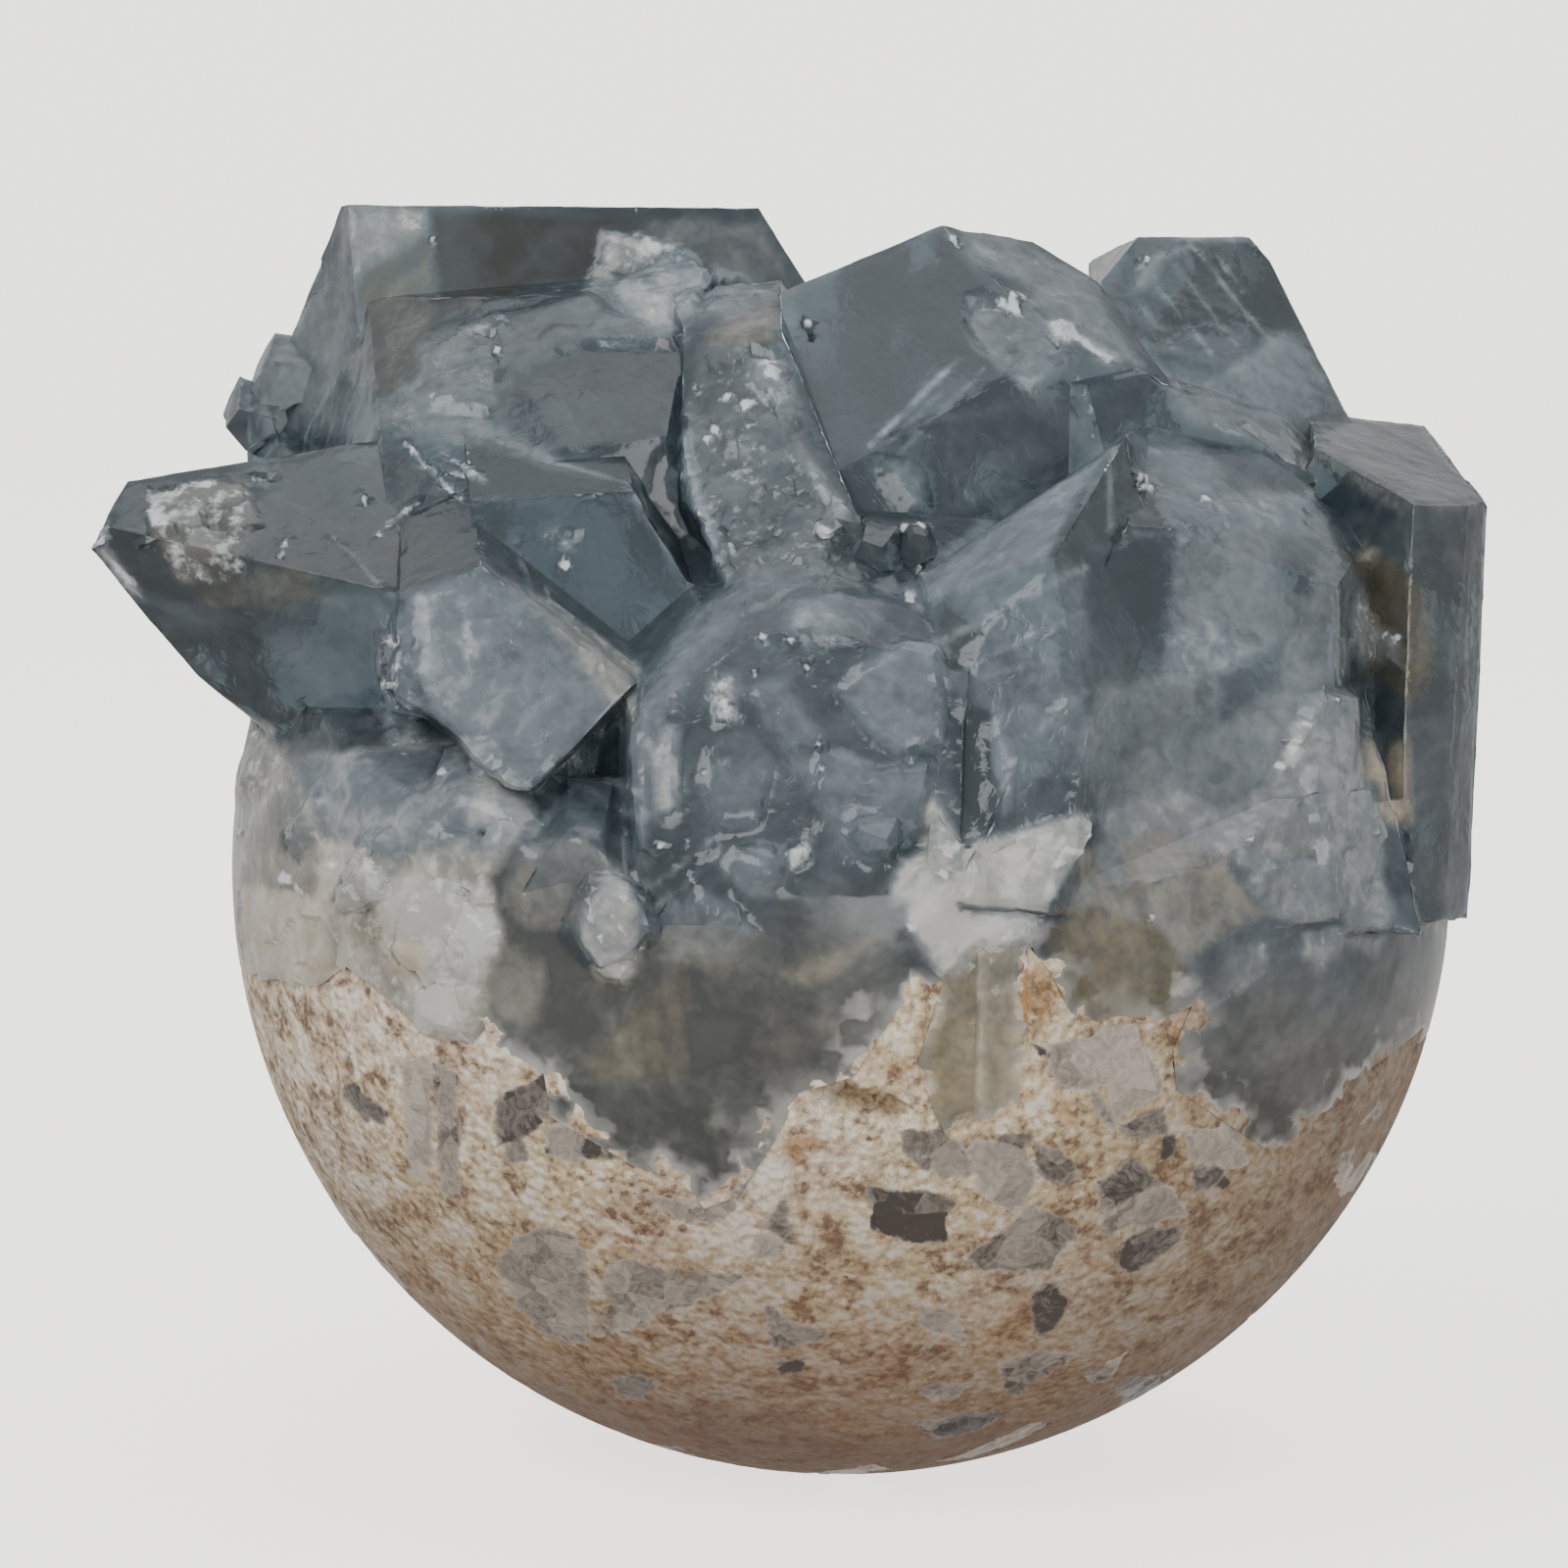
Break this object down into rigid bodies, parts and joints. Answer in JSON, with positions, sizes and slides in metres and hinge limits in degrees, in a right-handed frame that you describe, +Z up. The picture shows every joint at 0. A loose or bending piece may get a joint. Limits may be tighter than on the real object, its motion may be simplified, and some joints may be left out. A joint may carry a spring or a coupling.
{
  "type": "celestite crystal cluster",
  "caption": "Blocky translucent blue-grey celestite crystals on pale granular rock, with the lower half ground and polished to a rounded base.",
  "frame": {"origin": "centre of the small flat foot that is ground into the bottom of the rounded base", "axes": "+Z up out of the foot, +X to the right and -Y towards the viewer of the picture"},
  "size_m": [0.062, 0.0516, 0.0568],
  "materials": {
    "crystals": "natural crystal faces above, polished below",
    "host_rock": "polished granular rock"
  },
  "bodies": {
    "root": {"crystals": "crystals", "host_rock": "host_rock"}
  },
  "joints": []
}
